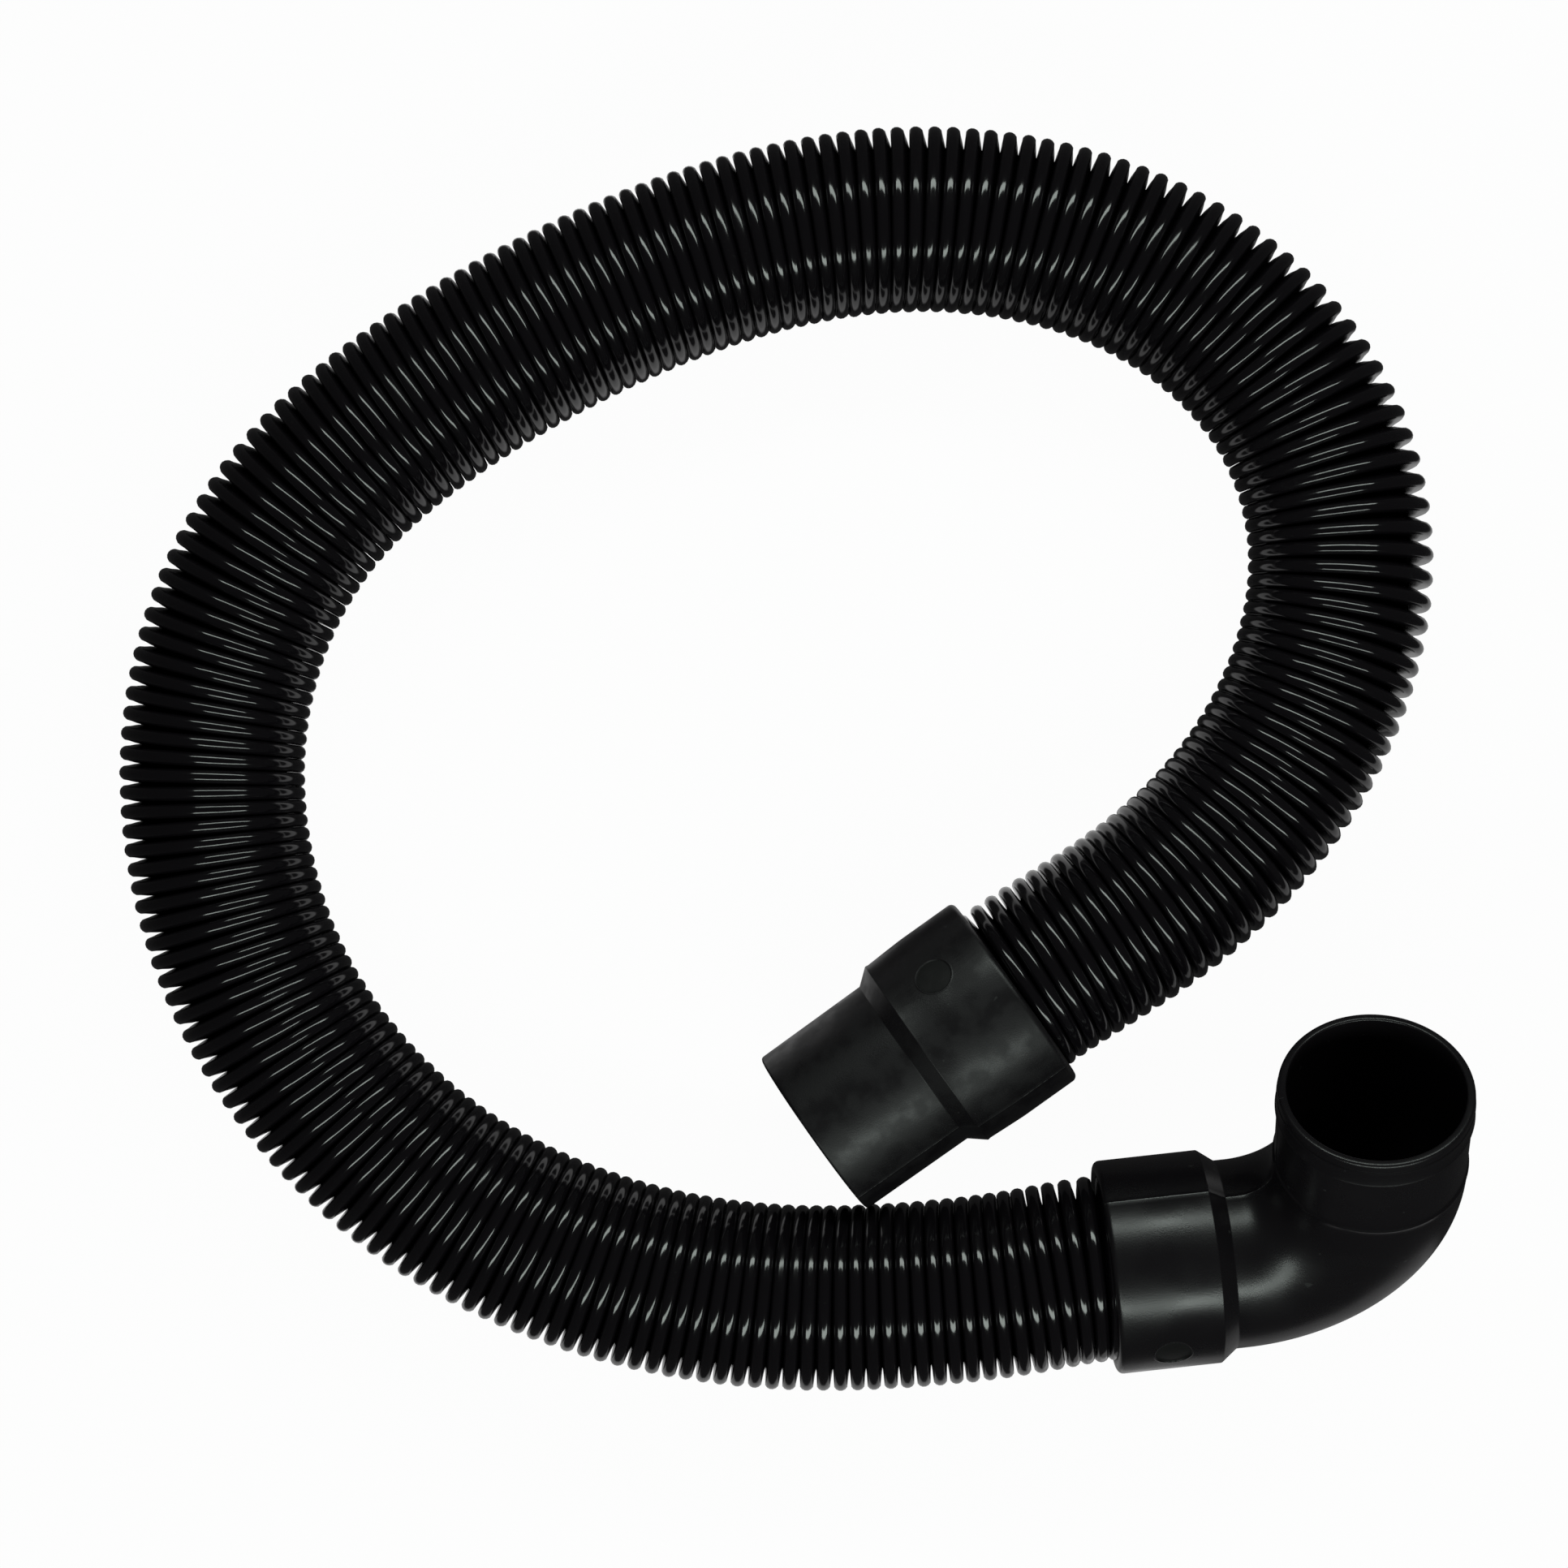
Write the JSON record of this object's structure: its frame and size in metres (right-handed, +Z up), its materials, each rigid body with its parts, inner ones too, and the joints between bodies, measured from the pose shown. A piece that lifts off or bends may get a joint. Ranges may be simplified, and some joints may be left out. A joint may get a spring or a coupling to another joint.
{
  "type": "floor cleaner suction hose",
  "caption": "Corrugated black suction hose lying in a loose loop, with a straight tapered cuff on one end and a right-angled elbow cuff on the other.",
  "frame": {"origin": "on the floor, under the middle of the box round the two cuffs", "axes": "+Z up from the floor; seen from above with the elbow cuff at the right, +X points right and +Y points up the picture, towards the far side of the loop"},
  "size_m": [0.3459, 0.3293, 0.0893],
  "materials": {
    "hose_plastic": "glossy black, extruded",
    "cuff_plastic": "satin black, moulded"
  },
  "bodies": {
    "root": {"corrugated_hose": "hose_plastic", "straight_cuff": "cuff_plastic", "elbow_cuff": "cuff_plastic"}
  },
  "joints": []
}
